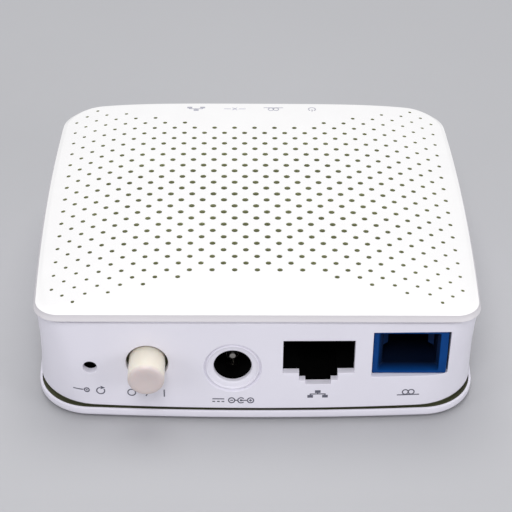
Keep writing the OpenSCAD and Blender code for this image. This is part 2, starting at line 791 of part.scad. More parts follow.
module status_leds() color("honeydew") in_place() {
    for (x = led_xs) {
        block(x, led_y - 0.6, board_top, 2, 1.2, 0.4);
        block(x, led_y - 0.6, board_top + 0.39, 1.3, 1.2, 0.4);
    }
}

module light_pipes() color("ghostwhite") in_place() {
    outer = -panel_y(light_z) - 0.25;
    for (x = led_xs) {
        shaft(x, led_y + 0.9, outer, light_z, 1.15);
        translate([x, led_y, board_top + 1]) linear_extrude(light_z + 0.2 - board_top)
            square([2, 1.9], center = true);
    }
    block(0, led_y - 0.4, light_z - 0.6, 24.6, 0.8, 1.2);
}

top_cover();
main_body();
base_cover();
rubber_feet();
case_screws();
rating_label();
power_button_cap();
power_switch_body();
power_switch_plunger();
power_switch_spring();
power_switch_pins();
reset_switch_body();
reset_switch_plunger();
reset_switch_pins();
dc_jack_body();
dc_jack_centre_pin();
dc_jack_spring_contact();
dc_jack_tabs();
network_jack();
network_contacts();
network_jack_pins();
optical_adapter();
optical_latch_insert();
ferrule_sleeve();
optical_transceiver();
transceiver_leads();
optics_shield();
main_board();
board_screws();
main_processor();
thermal_pad();
heat_sink();
memory_chip();
flash_chip();
network_transformer();
clock_crystal();
power_coils();
bulk_capacitors();
converter_chips();
protection_diode();
small_capacitors();
small_resistors();
status_leds();
light_pipes();
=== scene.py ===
import math

import bmesh
import bpy
import numpy as np
from mathutils import Matrix, Vector
from mathutils.geometry import delaunay_2d_cdt


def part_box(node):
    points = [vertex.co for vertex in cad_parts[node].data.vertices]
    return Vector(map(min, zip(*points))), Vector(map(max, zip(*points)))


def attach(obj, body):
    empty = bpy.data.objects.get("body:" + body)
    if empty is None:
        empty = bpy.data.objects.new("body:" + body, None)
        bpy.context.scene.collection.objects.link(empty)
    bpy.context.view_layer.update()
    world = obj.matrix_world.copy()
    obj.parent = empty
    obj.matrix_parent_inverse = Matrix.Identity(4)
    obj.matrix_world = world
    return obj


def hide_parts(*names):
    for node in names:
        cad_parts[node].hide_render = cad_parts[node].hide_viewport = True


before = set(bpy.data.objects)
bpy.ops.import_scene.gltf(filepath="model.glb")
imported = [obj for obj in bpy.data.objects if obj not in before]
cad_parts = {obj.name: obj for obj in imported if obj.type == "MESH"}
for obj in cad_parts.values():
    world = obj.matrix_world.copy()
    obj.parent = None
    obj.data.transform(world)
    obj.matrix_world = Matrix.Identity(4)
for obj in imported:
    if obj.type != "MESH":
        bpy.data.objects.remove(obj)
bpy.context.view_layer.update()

# Every size below is in millimetres, and becomes metres when a piece is made.
MM = 0.001


# ---------- Places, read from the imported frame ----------

def box_mm(node):
    low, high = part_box(node)
    return low/MM, high/MM


def middle_mm(node):
    low, high = box_mm(node)
    return (low + high)/2


base_low, base_high = box_mm("base_cover")
leds_low, leds_high = box_mm("status_leds")
button_low, button_high = box_mm("power_button_cap")
adapter_low, adapter_high = box_mm("optical_adapter")

CASE_Y = (base_low.y + base_high.y)/2
BASE_BOTTOM = base_low.z
BASE_TOP = BASE_BOTTOM + 1.7
BODY_BOTTOM = BASE_TOP + 0.5
BODY_TOP = box_mm("main_body")[1].z
COVER_TOP = box_mm("top_cover")[1].z - 0.01

RESET = middle_mm("reset_switch_plunger")
BUTTON = middle_mm("power_button_cap")
INLET = middle_mm("dc_jack_centre_pin")
OPTIC = middle_mm("optical_latch_insert")
NETWORK_X = middle_mm("network_jack").x
LIGHT_Z = box_mm("light_pipes")[1].z - 1.2
LED_XS = np.linspace(leds_low.x + 1, leds_high.x - 1, 4)

BOARD_TOP = box_mm("main_board")[1].z
NETWORK_BOTTOM = BOARD_TOP + 1.9
WALL = 1.3
DRAFT = 1.0
BUTTON_HOLE_R = 3.53
RESET_HOLE_R = 1.2
INLET_HOLE_R = 3.2
LIGHT_HOLE_R = 1.25
OPTIC_OPENING = (12.9, 9.2)
LABEL_RECESS = (26, 22)


# ---------- Plans: rounded rectangles with bowed sides ----------

FRONT_STEPS = 26
CORNER_STEPS = 18
SIDE_STEPS = 22


class Plan:
    """A plan outline: half sizes at the middle of each side, the radii of the front and back corners,
    and how far the sides bow out."""

    def __init__(self, half_w, half_d, front_corner, back_corner, front_bow, side_bow):
        self.sizes = np.array([half_w, half_d, front_corner, back_corner, front_bow, side_bow], float)

    def inset(self, by):
        return Plan(*(self.sizes - np.array([by, by, by, by, 0, 0])))

    def narrowed(self, by):
        return Plan(*(self.sizes - np.array([by, 0, 0, 0, 0, 0])))

    def towards(self, other, share):
        return Plan(*(self.sizes*(1 - share) + other.sizes*share))

    def quarter(self, corner):
        """Points from the middle of the front or back, round one corner, to the middle of the side."""
        half_w, half_d, _, _, front_bow, side_bow = self.sizes
        reach_x = half_w - corner - side_bow
        reach_y = half_d - corner - front_bow
        t = np.linspace(0, 1, FRONT_STEPS)
        front = offset(t*reach_x, reach_y + front_bow*(1 - t**2), 2*front_bow*t/reach_x, 1 + 0*t, corner)
        t = np.linspace(1, 0, SIDE_STEPS)
        side = offset(reach_x + side_bow*(1 - t**2), t*reach_y, 1 + 0*t, 2*side_bow*t/reach_y, corner)
        first = math.atan2(1, 2*front_bow/reach_x)
        last = math.atan2(2*side_bow/reach_y, 1)
        bend = polar(reach_x, reach_y, corner, np.linspace(first, last, CORNER_STEPS)[1:-1])
        return np.vstack([front, bend, side])

    def half(self):
        """Points from the middle of the front, round the right side, to the middle of the back."""
        front = self.quarter(self.sizes[2])*(1, -1)
        back = self.quarter(self.sizes[3])[::-1]
        return np.vstack([front, back[1:]])

    def loop(self):
        """The whole outline, from the middle of the front and counter-clockwise as seen from above."""
        right = self.half()
        left = right[::-1]*(-1, 1)
        return np.vstack([right, left[1:-1]])

    def rings(self, *steps):
        """The outline drawn in by an amount, at a height, for each step of the two."""
        return [lift(self.inset(inset).loop(), z) for inset, z in steps]


def polar(x, y, radius, angle):
    """Points at angles round a centre."""
    return np.column_stack([x + radius*np.cos(angle), y + radius*np.sin(angle)])


def offset(x, y, normal_x, normal_y, by):
    length = np.hypot(normal_x, normal_y)
    return np.column_stack([x + by*normal_x/length, y + by*normal_y/length])


HALF_W = (base_high.x - base_low.x)/2
HALF_D = (base_high.y - base_low.y)/2
BASE_PLAN = Plan(HALF_W, HALF_D, 9.4, 9.4, 0.8, 0.5)
FOOT_PLAN = Plan(HALF_W - 0.2, HALF_D - 0.2, 10.8, 10.8, 0.9, 0.5)
TOP_PLAN = Plan(HALF_W - 0.2 - DRAFT, HALF_D - 0.2 - DRAFT, 4.2, 6.3, 0.3, 0.2)
RIDGE_PLAN = Plan(37.4, 32.7, 4, 7.2, 0, 0.7)
WAIST = 0.3  # the walls are this much hollow at mid height


def body_plan(z):
    """The body's outer outline at a height."""
    share = (z - BODY_BOTTOM)/(BODY_TOP - BODY_BOTTOM)
    plan = FOOT_PLAN.towards(TOP_PLAN, share)
    return plan.narrowed(WAIST*4*max(share, 0)*max(1 - share, 0))


# ---------- Meshes ----------

SHARP_DEG = 32  # steeper edges than this are shaded sharp


def add_object(name, data):
    obj = bpy.data.objects.new(name, data)
    bpy.context.scene.collection.objects.link(obj)
    return obj


class Shell:
    """Points and faces of one piece, in millimetres about the case's own middle."""

    def __init__(self):
        self.points = []
        self.faces = []
        self.tags = []

    def add(self, points):
        start = len(self.points)
        self.points += [tuple(float(c) for c in p) for p in points]
        return list(range(start, len(self.points)))

    def face(self, corners, tag=0):
        self.faces.append(tuple(corners))
        self.tags.append(tag)

    def strip(self, first, second, tag=0):
        """Quads between two closed rings of the same length."""
        count = len(first)
        for i in range(count):
            j = (i + 1) % count
            self.face((first[i], first[j], second[j], second[i]), tag)

    def loft(self, rings, tag=0):
        """Joins rings of points in turn, and returns the first and last ring's indices."""
        indices = [ring if isinstance(ring[0], int) else self.add(ring) for ring in rings]
        for first, second in zip(indices, indices[1:]):
            self.strip(first, second, tag)
        return indices[0], indices[-1]

    def cap(self, ring, tag=0):
        """Closes a ring with a fan of triangles about its middle."""
        hub = self.add([np.mean([self.points[i] for i in ring], axis=0)])[0]
        for i in range(len(ring)):
            self.face((ring[i], ring[(i + 1) % len(ring)], hub), tag)

    def join(self, other, move):
        start = len(self.points)
        self.points += [tuple(c + m for c, m in zip(p, move)) for p in other.points]
        self.faces += [tuple(start + i for i in f) for f in other.faces]
        self.tags += other.tags

    def piece(self, name, slot, materials, replaced=(), body="root", at_case=True):
        """Makes the object, with doubled points joined, and smooth shading between sharp edges."""
        shift = CASE_Y if at_case else 0
        mesh = bpy.data.meshes.new(name)
        mesh.from_pydata([(x*MM, (y + shift)*MM, z*MM) for x, y, z in self.points], [], self.faces)
        for material in materials:
            mesh.materials.append(material)
        mesh.polygons.foreach_set("material_index", self.tags)
        edit = bmesh.new()
        edit.from_mesh(mesh)
        bmesh.ops.remove_doubles(edit, verts=edit.verts, dist=0.002*MM)
        bmesh.ops.dissolve_degenerate(edit, edges=edit.edges, dist=0.0005*MM)
        bmesh.ops.recalc_face_normals(edit, faces=edit.faces)
        edit.to_mesh(mesh)
        edit.free()
        mesh.shade_smooth()
        mesh.set_sharp_from_angle(angle=math.radians(SHARP_DEG))
        obj = add_object(name, mesh)
        weighted = obj.modifiers.new("even_shading", "WEIGHTED_NORMAL")
        weighted.keep_sharp = True
        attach(obj, body)
        if replaced:
            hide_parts(*replaced)


def lift(points, z):
    """Plan points at a height, which may be one number or one for each point."""
    points = np.asarray(points, float)
    return np.column_stack([points, np.broadcast_to(z, len(points))])


def inside(points, loop):
    """Which points lie inside a closed loop."""
    x, y = np.asarray(points, float).T
    hit = np.zeros(len(x), bool)
    for (x0, y0), (x1, y1) in zip(loop, np.roll(loop, -1, axis=0)):
        if y0 == y1:
            continue
        crossing = x0 + (y - y0)*(x1 - x0)/(y1 - y0)
        hit ^= ((y0 > y) != (y1 > y)) & (x < crossing)
    return hit


def distance_to(points, loop):
    """How far each point is from the nearest edge of a closed loop."""
    points = np.asarray(points, float)
    best = np.full(len(points), np.inf)
    for a, b in zip(loop, np.roll(loop, -1, axis=0)):
        along = b - a
        length = along @ along
        if length == 0:
            continue
        t = np.clip((points - a) @ along/length, 0, 1)
        gap = points - a - t[:, None]*along
        best = np.minimum(best, np.hypot(*gap.T))
    return best


def clear_points(points, outer, holes, gap):
    """The points inside outer that keep a gap from it and from every hole."""
    points = points[inside(points, outer)]
    points = points[distance_to(points, outer) > gap]
    for hole in holes:
        centre = hole.mean(axis=0)
        reach = np.hypot(*(hole - centre).T).max() + gap
        near = np.hypot(*(points - centre).T) < reach
        if near.any():
            close = points[near]
            keep = ~inside(close, hole) & (distance_to(close, hole) > gap)
            points = np.vstack([points[~near], close[keep]])
    return points


def triangulate(outer, holes, extra):
    """Triangles over outer, open at the holes. They number outer's points first, then the holes'."""
    loops = [outer, *holes]
    coords = np.vstack([*loops, extra])
    edges = []
    owner = np.full(len(coords), -1)
    start = 0
    for number, loop in enumerate(loops):
        count = len(loop)
        edges += [(start + i, start + (i + 1) % count) for i in range(count)]
        owner[start:start + count] = number
        start += count
    vectors = [Vector(p) for p in coords.tolist()]
    _, _, found, origin, _, _ = delaunay_2d_cdt(vectors, edges, [], 0, 1e-6)
    corners = np.array([[origin[i][0] for i in face] for face in found])
    owners = owner[corners]
    closed = (owners == owners[:, :1]).all(axis=1) & (owners[:, 0] > 0)
    middles = coords[corners].mean(axis=1)
    keep = np.ones(len(corners), bool)
    for number in np.unique(owners[closed, 0]):
        rows = np.flatnonzero(closed & (owners[:, 0] == number))
        keep[rows] = ~inside(middles[rows], loops[number])
    return corners[keep]


def plate(shell, outer, holes, extra, place, tag=0):
    """Adds a triangulated sheet. Returns the indices of its outer loop and of each hole's loop."""
    indices = shell.add(place(np.vstack([outer, *holes, extra])))
    for corners in triangulate(outer, holes, extra):
        shell.face([indices[i] for i in corners], tag)
    counts = [len(loop) for loop in (outer, *holes)]
    rim, *rims = [indices[end - count:end] for count, end in zip(counts, np.cumsum(counts))]
    return rim, rims


def circle(x, y, radius, count=32):
    return polar(x, y, radius, np.arange(count)*2*math.pi/count)


def mitres(path, closed=True):
    """A unit step to the right of the path at each point, longer where the path bends."""
    ahead = np.roll(path, -1, axis=0) - path
    behind = path - np.roll(path, 1, axis=0)
    if not closed:
        ahead[-1] = behind[-1]
        behind[0] = ahead[0]
    bend = ahead/np.hypot(*ahead.T)[:, None] + behind/np.hypot(*behind.T)[:, None]
    return 2*np.column_stack([bend[:, 1], -bend[:, 0]])/(bend*bend).sum(axis=1)[:, None]


def grow(loop, by):
    """A closed counter-clockwise loop moved outwards, with its corners kept."""
    return loop + by*mitres(loop)


def lathe(profile, axis, centre, count, second_from=None):
    """A solid turned about an axis, from points of (distance along it, radius). The second material starts
    at the point numbered second_from."""
    shell = Shell()
    rings = [np.insert(circle(0, 0, radius, count), axis, along, axis=1) + centre
             for along, radius in profile]
    change = second_from or len(rings) - 1
    first, last = shell.loft(rings[:change + 1])
    if second_from:
        _, last = shell.loft([last, *rings[change + 1:]], tag=1)
    shell.cap(first)
    shell.cap(last, tag=1 if second_from else 0)
    return shell


# ---------- Materials ----------

class Recipe:
    """A Principled material with helpers for the node patterns that the pieces share."""

    def __init__(self, name, colour, roughness, metallic=0.0, **values):
        self.material = bpy.data.materials.new(name)
        self.material.use_nodes = True
        self.tree = self.material.node_tree
        self.shader = self.tree.nodes["Principled BSDF"]
        self.colour = (*colour, 1)
        self.roughness = roughness
        self.set("Base Color", self.colour)
        self.set("Roughness", roughness)
        self.set("Metallic", metallic)
        for key, value in values.items():
            self.set(key.replace("_", " "), value)
        self.height = None
        coords = self.tree.nodes.new("ShaderNodeTexCoord")
        self.place = coords.outputs["Object"]

    def feed(self, socket, value):
        """Links another node's output to a socket, or sets its number."""
        if isinstance(value, bpy.types.NodeSocket):
            self.tree.links.new(value, socket)
        else:
            socket.default_value = value

    def set(self, name, value):
        self.feed(self.shader.inputs[name], value)

    def node(self, kind, **inputs):
        made = self.tree.nodes.new(kind)
        for key, value in inputs.items():
            self.feed(made.inputs[key.replace("_", " ")], value)
        return made

    def stretched(self, scale):
        """Object coordinates in millimetres, scaled by three factors."""
        made = self.node("ShaderNodeMapping", Vector=self.place, Scale=tuple(s/MM for s in scale))
        return made.outputs["Vector"]

    def noise(self, size, detail=3.0, scale=(1, 1, 1)):
        """Noise from 0 to 1 whose features are about this many millimetres across."""
        place = self.stretched([s/size for s in scale])
        made = self.node("ShaderNodeTexNoise", Vector=place, Scale=1.0, Detail=detail)
        return made.outputs["Fac"]

    def ranged(self, value, low, high, start=0.3, end=0.7):
        """A value spread over a new range."""
        made = self.node("ShaderNodeMapRange", Value=value, From_Min=start, From_Max=end,
                         To_Min=low, To_Max=high)
        return made.outputs["Result"]

    def blended(self, share, first, second):
        made = self.tree.nodes.new("ShaderNodeMix")
        made.data_type = "RGBA"
        for number, value in ((0, share), (6, first), (7, second)):
            self.feed(made.inputs[number], value)
        return made.outputs[2]

    def graded(self, start, end, front, back):
        """Runs from the front colour to the back one between two places along Y, in millimetres."""
        axes = self.node("ShaderNodeSeparateXYZ", Vector=self.place)
        share = self.ranged(axes.outputs["Y"], 0, 1, start=start*MM, end=end*MM)
        self.set("Base Color", self.blended(share, front, back))

    def mottled(self, size, amount):
        """Makes the colour a little darker and lighter in patches."""
        darker = tuple(c*(1 - amount) for c in self.colour[:3]) + (1,)
        lighter = tuple(min(c*(1 + amount), 1) for c in self.colour[:3]) + (1,)
        share = self.ranged(self.noise(size), 0, 1)
        self.tint = self.blended(share, darker, lighter)
        self.set("Base Color", self.tint)
        return self

    def uneven_gloss(self, size, amount, scale=(1, 1, 1)):
        share = self.noise(size, detail=5, scale=scale)
        self.set("Roughness", self.ranged(share, self.roughness - amount, self.roughness + amount))
        return self

    def rough_surface(self, size, depth, detail=2.0, scale=(1, 1, 1)):
        """Adds relief of this depth in millimetres. More than one call adds up."""
        noise = self.noise(size, detail, scale)
        made = self.node("ShaderNodeBump", Height=noise, Strength=1.0, Distance=depth*MM)
        if self.height is not None:
            self.tree.links.new(self.height, made.inputs["Normal"])
        self.height = made.outputs["Normal"]
        self.set("Normal", self.height)
        return self


def moulded(name, colour, roughness, grain=0.35, depth=0.004, mottle=0.02, **values):
    """Injection-moulded plastic: fine spark-eroded grain, faint flow marks and uneven gloss."""
    recipe = Recipe(name, colour, roughness, **values)
    recipe.mottled(9, mottle).uneven_gloss(3, 0.05)
    recipe.rough_surface(grain, depth).rough_surface(6, depth*1.5)
    return recipe.material


def metal(name, colour, roughness, brushed=(1, 1, 1), mottle=0.06):
    """Plated or bare metal with fine drawing marks along one direction and patchy gloss."""
    recipe = Recipe(name, colour, roughness, metallic=1.0)
    recipe.mottled(1.5, mottle).uneven_gloss(0.6, 0.08, scale=brushed)
    recipe.rough_surface(0.12, 0.004, scale=brushed)
    return recipe.material


def board_material():
    """Green solder mask over copper tracks, which stand out as slightly raised, lighter lines."""
    recipe = Recipe("board_solder_mask", (0.035, 0.16, 0.05), 0.32, Coat_Weight=0.4, Coat_Roughness=0.15)
    tracks = recipe.node("ShaderNodeTexBrick", Vector=recipe.stretched((0.42, 0.42, 0.42)), Scale=1.0,
                         Mortar_Size=0.16, Brick_Width=2.6, Row_Height=0.9)
    tracks.offset = 0.37
    weave = recipe.noise(0.5)
    copper = recipe.blended(tracks.outputs["Fac"], (0.03, 0.14, 0.045, 1), (0.10, 0.30, 0.10, 1))
    tint = recipe.blended(recipe.ranged(weave, 0, 0.35), copper, (0.02, 0.09, 0.03, 1))
    recipe.set("Base Color", tint)
    bump = recipe.node("ShaderNodeBump", Height=tracks.outputs["Fac"], Strength=1.0, Distance=0.03*MM)
    recipe.height = bump.outputs["Normal"]
    recipe.rough_surface(0.3, 0.01).uneven_gloss(2, 0.08)
    return recipe.material


def adapter_material():
    """Blue moulding that falls away to near black inside the socket, where no light reaches."""
    recipe = Recipe("optical_blue", (0.003, 0.05, 0.21), 0.5, Specular_IOR_Level=0.08)
    recipe.mottled(2.5, 0.08)
    recipe.graded(adapter_low.y + 0.2, adapter_low.y + 2, recipe.tint, (0.002, 0.006, 0.02, 1))
    recipe.uneven_gloss(1.2, 0.06).rough_surface(0.25, 0.004)
    return recipe.material


def button_material():
    """Cream moulding whose front face is painted a little greyer and pinker than its side: painted shade
    on the face, which gets less of the light from above.
    """
    recipe = Recipe("button_cream_face_shade", (0.80, 0.75, 0.63), 0.35, Subsurface_Weight=0.15,
                    Subsurface_Radius=(0.002, 0.0012, 0.0008), Subsurface_Scale=1.0)
    recipe.mottled(3, 0.015)
    # Painted shade: the front face runs greyer and pinker than the side.
    recipe.graded(button_low.y + 0.2, button_low.y + 0.9, (0.65, 0.565, 0.545, 1), recipe.tint)
    recipe.uneven_gloss(1.5, 0.05).rough_surface(0.5, 0.002)
    return recipe.material


def label_material():
    """Printed polyester film: fine paper-like tooth and a faint sheen."""
    recipe = Recipe("label_film", (0.78, 0.78, 0.76), 0.38, Coat_Weight=0.3, Coat_Roughness=0.2)
    recipe.mottled(4, 0.03).uneven_gloss(0.8, 0.06).rough_surface(0.15, 0.003)
    return recipe.material


def light_pipe_material():
    """Clear moulded acrylic with faint flow lines."""
    recipe = Recipe("light_pipe_acrylic", (0.9, 0.93, 0.93), 0.12, Transmission_Weight=0.75, IOR=1.49)
    recipe.mottled(3, 0.03).uneven_gloss(1, 0.04).rough_surface(2.5, 0.01)
    return recipe.material


WHITE = moulded("cover_white", (0.85, 0.84, 0.825), 0.45, grain=0.3, depth=0.0025, mottle=0.006)
BODY = moulded("body_white", (0.81, 0.79, 0.86), 0.40, grain=0.3, depth=0.003, mottle=0.012)
# The cover's lip band is the same white plastic as its top, painted darker as shade on its upright face.
LIP_SHADE = moulded("lip_painted_shade", (0.69, 0.665, 0.68), 0.42, grain=0.3, depth=0.003, mottle=0.01)
# The inside faces of the body and base are painted grey: painted shade inside the closed case.
BODY_INSIDE_SHADE = moulded("body_inside_painted_shade", (0.42, 0.42, 0.40), 0.55)
# The cover's underside, the lower walls of its vent holes and its tongue are painted olive grey: painted
# shade with an olive tint.
VENT_SHADE = moulded("vent_painted_shade", (0.36, 0.38, 0.20), 0.7, mottle=0.15)
# Painted shadow for the deep joints: the groove under the cover's lip, the groove between base and body,
# and the button's flange behind the panel.
GAP_SHADOW = moulded("gap_painted_shadow", (0.10, 0.105, 0.055), 0.6, mottle=0.2)
RUBBER = moulded("foot_rubber", (0.025, 0.025, 0.026), 0.8, grain=0.25, depth=0.012, mottle=0.15)
INK = moulded("grey_ink", (0.10, 0.10, 0.13), 0.6, grain=0.12, mottle=0.25)
LID_INK = moulded("pale_grey_ink", (0.46, 0.46, 0.52), 0.6, grain=0.12, mottle=0.25)


# ---------- Cover ----------

VENT_PITCH = 1.9
VENT_COLUMNS = 18
VENT_ROWS = 16
VENT_REACH = 32  # column and row together stay within this
RIDGE_Z = COVER_TOP - 2.07  # the crisp edge where the top meets the lip
SEAM = 0.22  # the open joint between the cover and the body
LIP_BOTTOM = BODY_TOP + SEAM
LIP_FLARE = 0.4
ROLL_FRONT, ROLL_BACK = 2.2, 0.7  # the top rolls down to the ridge over this width
COVER_T = 0.85
CROWN_SPAN = 30.0
SIDE_FALL, END_FALL = 0.8, 0.2  # the crown is this much lower at CROWN_SPAN from the middle


def vents():
    """Centre and radius of every vent hole: a staggered field, smaller towards its edge."""
    found = []
    for column in range(-VENT_COLUMNS, VENT_COLUMNS + 1):
        for row in range(-VENT_ROWS, VENT_ROWS + 1):
            last_row = 12 if abs(column) < 7 else 12 + (abs(column) - 4)//3
            here = (column + row) % 2 == 0 and abs(column) + abs(row) <= VENT_REACH
            if here and abs(row) <= last_row:
                out = (column/VENT_COLUMNS)**2 + (row/VENT_ROWS)**2
                found.append((column*VENT_PITCH, row*VENT_PITCH, max(0.6, 1.1 - 0.5*out/1.5)/2))
    return found


def crown(points):
    """Height of the cover's top: nearly flat in the middle, falling away to the sides."""
    x, y = np.asarray(points).T/CROWN_SPAN
    return COVER_TOP - SIDE_FALL*x**4 - END_FALL*y**4


def roll_width(points):
    """Wide along the front, where the top slopes down to the lip, and narrow at the sides and back."""
    share = np.clip((-points[:, 1] - 22)/8, 0, 1)
    return ROLL_BACK + (ROLL_FRONT - ROLL_BACK)*share**2*(3 - 2*share)


def cover_height(points):
    """The crown, rolled down to the ridge near the edge."""
    points = np.asarray(points, float)
    top = crown(points)
    edge = np.clip(1 - distance_to(points, RIDGE_PLAN.loop())/roll_width(points), 0, 1)
    return top - (top - RIDGE_Z)*edge**1.3


def free_lattice(outer, holes):
    """Points between the holes, so that the sheet follows the crown."""
    columns = np.arange(-20, 21)*VENT_PITCH
    grid = np.array([(x, y) for x in columns for y in columns])
    return clear_points(grid, outer, holes, 0.35)


def build_cover():
    shell = Shell()
    roll_inner = 1.5
    chamfer = 0.07
    field = vents()
    wide = [circle(x, y, r + chamfer, 16) for x, y, r in field]
    narrow = [circle(x, y, r, 16) for x, y, r in field]
    outer = RIDGE_PLAN.inset(roll_inner).loop()
    top_rim, top_holes = plate(shell, outer, wide, free_lattice(outer, wide),
                               lambda p: lift(p, cover_height(p)))
    inner = TOP_PLAN.inset(WALL).loop()
    # The underside and the lower part of each hole's wall are painted olive grey as shade.
    under_rim, under_holes = plate(shell, inner, narrow, free_lattice(inner, narrow),
                                   lambda p: lift(p, cover_height(p) - COVER_T), tag=1)
    for hole, top, under in zip(narrow, top_holes, under_holes):
        throat = shell.add(lift(hole, cover_height(hole) - chamfer))
        shell.strip(top, throat)
        shell.strip(throat, under, tag=1)
    rings = [top_rim]
    for d in (1.2, 0.9, 0.7, 0.55, 0.4, 0.26, 0.14, 0.05):
        ring = RIDGE_PLAN.inset(d).loop()
        rings.append(lift(ring, cover_height(ring)))
    _, ridge = shell.loft(rings + RIDGE_PLAN.rings((0, RIDGE_Z)))
    flare = ((0, 0.08), (0.2, 0.35), (0.6, 0.68), (0.95, 0.9), (1.0, 0.96), (0.95, 1.0))
    lip_h = RIDGE_Z - LIP_BOTTOM
    lip = RIDGE_PLAN.rings(*((-LIP_FLARE*out, RIDGE_Z - lip_h*down) for out, down in flare))
    # The lip band is painted darker than the top, as painted shade.
    _, joint = shell.loft([ridge, *lip, *TOP_PLAN.rings((0.1, LIP_BOTTOM + 0.02))], tag=2)
    # The groove under the lip is painted dark as shadow.
    groove = TOP_PLAN.rings((0.75, LIP_BOTTOM + 0.02), (0.75, BODY_TOP + 0.02),
                            (WALL + 0.15, BODY_TOP + 0.02))
    _, tongue_root = shell.loft([joint, *groove], tag=3)
    steps = ((0.15, -1.25), (0.3, -1.4), (1.0, -1.4), (1.15, -1.25), (1.15, 0.1))
    tongue = TOP_PLAN.rings(*((WALL + inset, BODY_TOP + rise) for inset, rise in steps))
    # The tongue inside the body takes the same painted shade as the underside.
    shell.loft([tongue_root, *tongue, under_rim], tag=1)
    materials = [WHITE, VENT_SHADE, LIP_SHADE, GAP_SHADOW]
    shell.piece("cover_shell", "white_plastic", materials, ["top_cover"])


# ---------- Body ----------

FLAT_X = 34.0  # the panel and the back are laid out by X this far from the middle
WALL_STEP = 1.3


def halved(values):
    """The front part and the back part of something listed along a half outline."""
    middle = len(values)//2
    return values[:middle], values[middle:]


def measured(outline):
    """The length run along a half outline at each point, where it leaves the front and joins the back."""
    run = np.concatenate([[0], np.cumsum(np.hypot(*np.diff(outline, axis=0).T))])
    front, back = halved(outline)
    front_run, back_run = halved(run)
    leaves = np.interp(FLAT_X, front[:, 0], front_run)
    joins = np.interp(-FLAT_X, -back[:, 0], back_run)
    return run, leaves, joins


def wall_points(spots, inset=0.0):
    """Places (way round, height) on the body's wall. Up to FLAT_X the way round is X on the port panel,
    then it runs round the side, and the rest is X on the back, from FLAT_X to the middle."""
    out = []
    for way, z in spots:
        outline = body_plan(z).inset(inset).half()
        front, back = halved(outline)
        run, leaves, joins = measured(outline)
        distance = abs(way)
        along = np.interp(distance, (0, FLAT_X, FLAT_X + SIDE_RUN, WAY_END), (0, leaves, joins, run[-1]))
        x, y = (np.interp(along, run, values) for values in outline.T)
        if distance < FLAT_X:
            x, y = distance, np.interp(distance, front[:, 0], front[:, 1])
        elif distance > FLAT_X + SIDE_RUN:
            x = WAY_END - distance
            y = np.interp(-x, -back[:, 0], back[:, 1])
        out.append((math.copysign(1, way)*x, y, z))
    return np.array(out)


def side_run():
    """Length of the wall round one side, at mid height."""
    _, leaves, joins = measured(body_plan((BODY_BOTTOM + BODY_TOP)/2).half())
    return joins - leaves


SIDE_RUN = side_run()
WAY_END = 2*FLAT_X + SIDE_RUN


def network_profile(x, bottom):
    """The plug opening with its two latch steps, counter-clockwise from its lower left corner."""
    half = [(2.15, 0), (2.15, 0.8), (3.25, 0.8), (3.25, 2.35), (6.0, 2.35), (6.0, 9.0)]
    right = [(x + a, bottom + b) for a, b in half]
    left = [(x - a, bottom + b) for a, b in half[::-1]]
    return np.array(right + left)


def rectangle(x, z, width, height):
    w, h = width/2, height/2
    return np.array([(x - w, z - h), (x + w, z - h), (x + w, z + h), (x - w, z + h)])


def divided(a, b, step):
    """Points from a towards b, no further apart than step, without b itself."""
    count = max(1, math.ceil(np.hypot(*(b - a))/step))
    return [a + (b - a)*i/count for i in range(count)]


def finely(loop, step=0.9):
    """The same closed outline with points no further apart than step."""
    return np.vstack([divided(a, b, step) for a, b in zip(loop, np.roll(loop, -1, axis=0))])


def eased(spots, by):
    """Rings that round an opening's edge, each with its depth."""
    steps = ((1, 0), (0.55, 0.12), (0.2, 0.45))
    return [(grow(spots, by*out), by*deep) for out, deep in steps] + [(spots, by)]


def inlet_rings():
    """The power inlet's shallow dish with its double rim, then its hole."""
    steps = [(4.95, 0), (4.88, 0.05), (4.8, 0.36), (4.72, 0.42), (4.58, 0.42), (4.5, 0.36), (4.44, 0.12),
             (4.36, 0.08), (4.24, 0.14), (4.14, 0.34), (3.7, 0.4), (3.5, 0.42), (3.34, 0.5), (3.23, 0.62),
             (INLET_HOLE_R, 0.8)]
    return [(circle(INLET.x, INLET.z, r, 48), depth) for r, depth in steps]


def panel_openings():
    """Each opening on the port panel as a list of (outline, depth) rings, outermost first."""
    network = finely(network_profile(NETWORK_X, NETWORK_BOTTOM))
    optic = finely(rectangle(OPTIC.x, OPTIC.z, *OPTIC_OPENING))
    return [
        eased(circle(RESET.x, RESET.z, RESET_HOLE_R), 0.12),
        eased(circle(BUTTON.x, BUTTON.z, BUTTON_HOLE_R, 56), 0.15),
        inlet_rings(),
        eased(network, 0.1),
        eased(optic, 0.12),
    ]


POSTS = [(s*x, y) for s in (-1, 1) for x, y in ((30.4, 24.6), (31.6, -8.0))]


